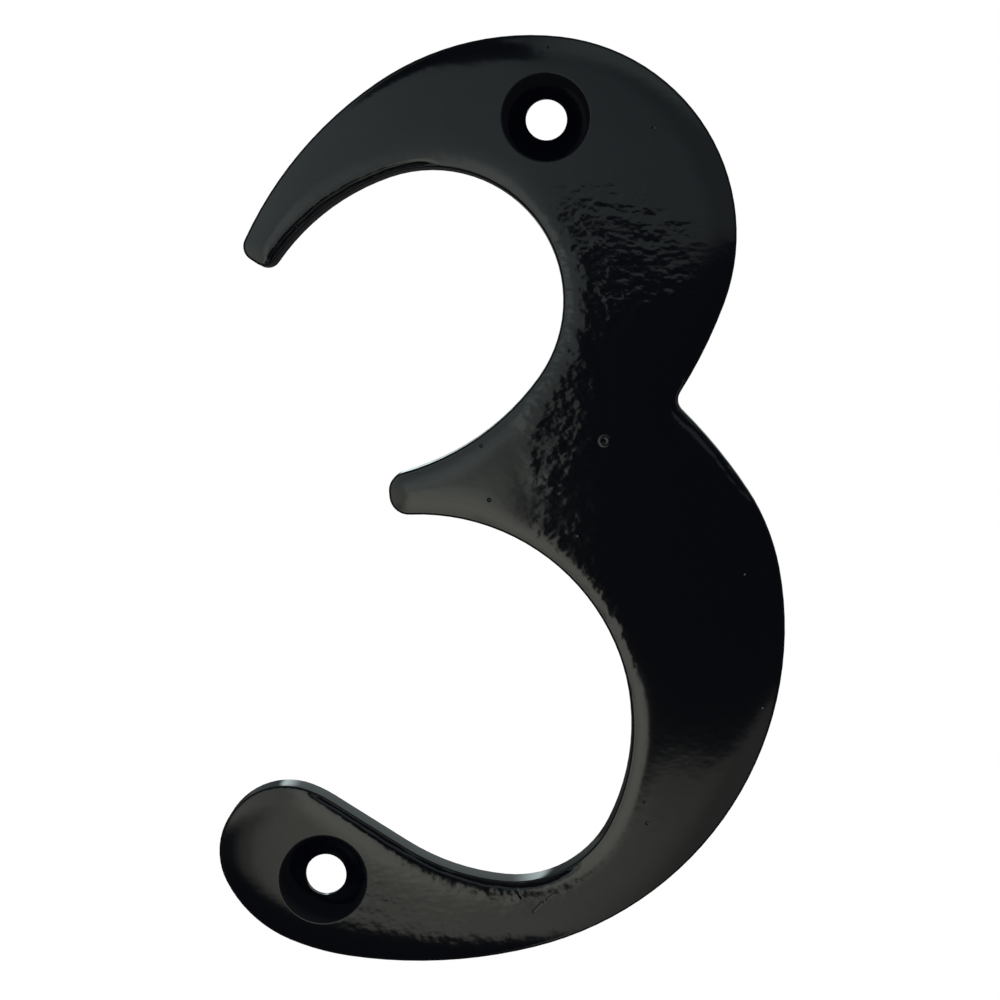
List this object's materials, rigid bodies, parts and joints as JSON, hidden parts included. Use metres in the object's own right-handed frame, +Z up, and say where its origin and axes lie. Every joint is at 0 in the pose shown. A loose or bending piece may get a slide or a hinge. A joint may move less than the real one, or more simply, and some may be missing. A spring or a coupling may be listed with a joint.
{
  "type": "door number",
  "caption": "Cast numeral three for a door, flat at the back, with a rounded front edge and countersunk screw holes at the top and in the tail.",
  "frame": {"origin": "middle of the height and width, on the flat back, inside the middle arm", "axes": "+Z up and +X right as the number is read, -Y out of the door, +Y into it"},
  "size_m": [0.0466, 0.0025, 0.076],
  "materials": {
    "black_finish": "gloss black coating over the cast metal"
  },
  "bodies": {
    "root": {"numeral": "black_finish"}
  },
  "joints": []
}
